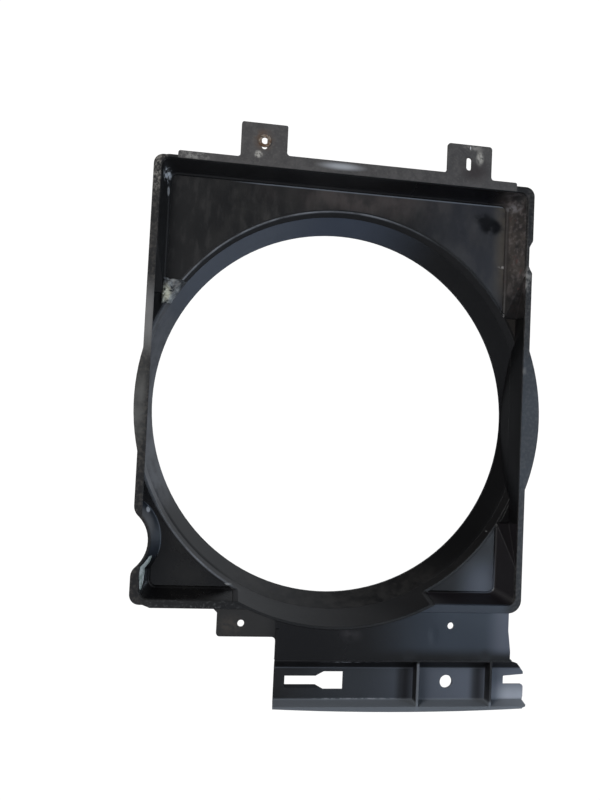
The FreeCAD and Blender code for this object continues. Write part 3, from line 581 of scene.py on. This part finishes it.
def sheet_mesh(name, rows, columns, place, material):
    """A skin laid over a surface: place gives the point at (u, v), both from 0 to 1."""
    points = [place(column / columns, row / rows)
              for row in range(rows + 1) for column in range(columns + 1)]
    wide = columns + 1
    faces = [(row * wide + column, row * wide + column + 1,
              (row + 1) * wide + column + 1, (row + 1) * wide + column)
             for row in range(rows) for column in range(columns)]
    mesh = bpy.data.meshes.new(name)
    mesh.from_pydata(points, [], faces)
    for face in mesh.polygons:
        face.use_smooth = True
    mesh.materials.append(material)
    piece = bpy.data.objects.new(name, mesh)
    bpy.context.scene.collection.objects.link(piece)
    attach(piece, "root")
    return piece


sealer = Surface("dried_sealer", (0.30, 0.31, 0.31), 0.38)
sealer.coat((0.11, 0.115, 0.12), 0.5, sealer.blotches(0.005, 0.42, 0.58))
sealer.coat((0.86, 0.85, 0.68), 0.45,
            sealer.spot((-0.2290, -0.048, 0.1345), (0.0100, 0.02, 0.016), 0.8),
            sealer.blotches(0.005, 0.24, 0.44, seed=2.0))
sealer.coat((0.040, 0.042, 0.045), 0.5, sealer.blotches(0.0032, 0.54, 0.64, seed=3.0))
sealer.coat((0.030, 0.033, 0.037), 0.4, sealer.along("x", -0.2150, -0.2080))
sealer.relief(sealer.blotches(0.0018, 0.25, 0.75, seed=4.0), 0.0006)


def crumple(point, size, depth):
    return depth * noise.fractal(Vector(point) / size, 1.0, 2.0, 4)


def rim_distance(u, v):
    """0 at the edge of a patch and 1 in its middle."""
    return min(u, 1.0 - u, v, 1.0 - v) * 2.0


# the patch over the corner of the upper floor
CORNER_LEFT = -0.2330
CORNER_FOOT = 0.1225
CORNER_TALL = 0.0330
CORNER_SLOPE = 0.0030
CORNER_REACH = 0.2525
CORNER_RAGGED = 0.0016
CORNER_SINK = 0.0008
CORNER_SWELL = 0.0055
CORNER_LUMPS = (0.006, 0.0030)
STEP_SLOPE = 0.75


def corner_patch(u, v):
    """The wedge between the left wall and the step, past the ridge of the funnel."""
    ragged = crumple((u * 3.0, 0.5, v * 3.0), 1.0, CORNER_RAGGED)
    z = CORNER_FOOT + CORNER_TALL * v - CORNER_SLOPE * u * v + ragged * v
    right = -math.sqrt(CORNER_REACH ** 2 - z ** 2) + ragged
    x = CORNER_LEFT + (right - CORNER_LEFT) * u
    rim = rim_distance(u, v)
    swell = math.sqrt(max(0.0, 1.0 - (1.0 - min(1.0, rim * 2.2)) ** 2))
    lift = CORNER_SWELL * swell + crumple((x, 0.0, z), *CORNER_LUMPS) * min(1.0, rim * 3.0)
    past_ridge = max(0.0, CREST[0] - math.hypot(x, z))
    return (x, FLOOR_Y + CORNER_SINK + STEP_SLOPE * past_ridge - lift, z)


sheet_mesh("upper_left_sealer", 60, 40, corner_patch, sealer.done())

glaze = Surface("green_white_sealer", (0.36, 0.42, 0.38), 0.22)
glaze.coat((0.66, 0.70, 0.67), 0.18, glaze.blotches(0.005, 0.42, 0.60))
glaze.coat((0.030, 0.085, 0.040), 0.3,
           glaze.blotches(0.0045, 0.52, 0.64, (1.0, 1.0, 0.5), seed=2.0))
glaze.relief(glaze.blotches(0.004, 0.25, 0.75, seed=3.0), 0.0005)


# the smear below the notch; the left wall and the notch wall lean with depth
SMEAR_TOP = -0.184
SMEAR_TALL = 0.0475
SMEAR_WIDTH = 0.017
SMEAR_DEPTH, SMEAR_RISE = 0.0125, 0.0060
SMEAR_THICK, SMEAR_SINK = 0.0014, 0.0003
SMEAR_LUMPS = (0.005, 0.0005)
WALL_X, WALL_LEAN = -0.243, 0.0124
NOTCH_RADIUS, NOTCH_LEAN = 0.0442, 0.0150
BOX_DEPTH = 0.030
SHELL_DEPTH = 0.032


def wall_patch(u, v):
    """A tapered smear down the notch wall and the left wall below it."""
    z = SMEAR_TOP - SMEAR_TALL * v
    width = 0.0005 + SMEAR_WIDTH * math.sin(math.pi * v) ** 0.8
    depth = SMEAR_DEPTH - SMEAR_RISE * v + width * (u - 0.5)
    wall = WALL_X + WALL_LEAN * depth / BOX_DEPTH
    radius = NOTCH_RADIUS + NOTCH_LEAN * (depth + 0.001) / SHELL_DEPTH
    reach = radius ** 2 - (z - NOTCH[1]) ** 2
    notch = NOTCH[0] + math.sqrt(reach) if reach > 0.0 else wall
    lift = (SMEAR_THICK * min(1.0, rim_distance(u, v) * 2.0) - SMEAR_SINK
            + crumple((depth, 0.0, z), *SMEAR_LUMPS))
    return (max(wall, notch) + lift, FLANGE_Y + depth, z)


sheet_mesh("lower_left_sealer", 60, 16, wall_patch, glaze.done())
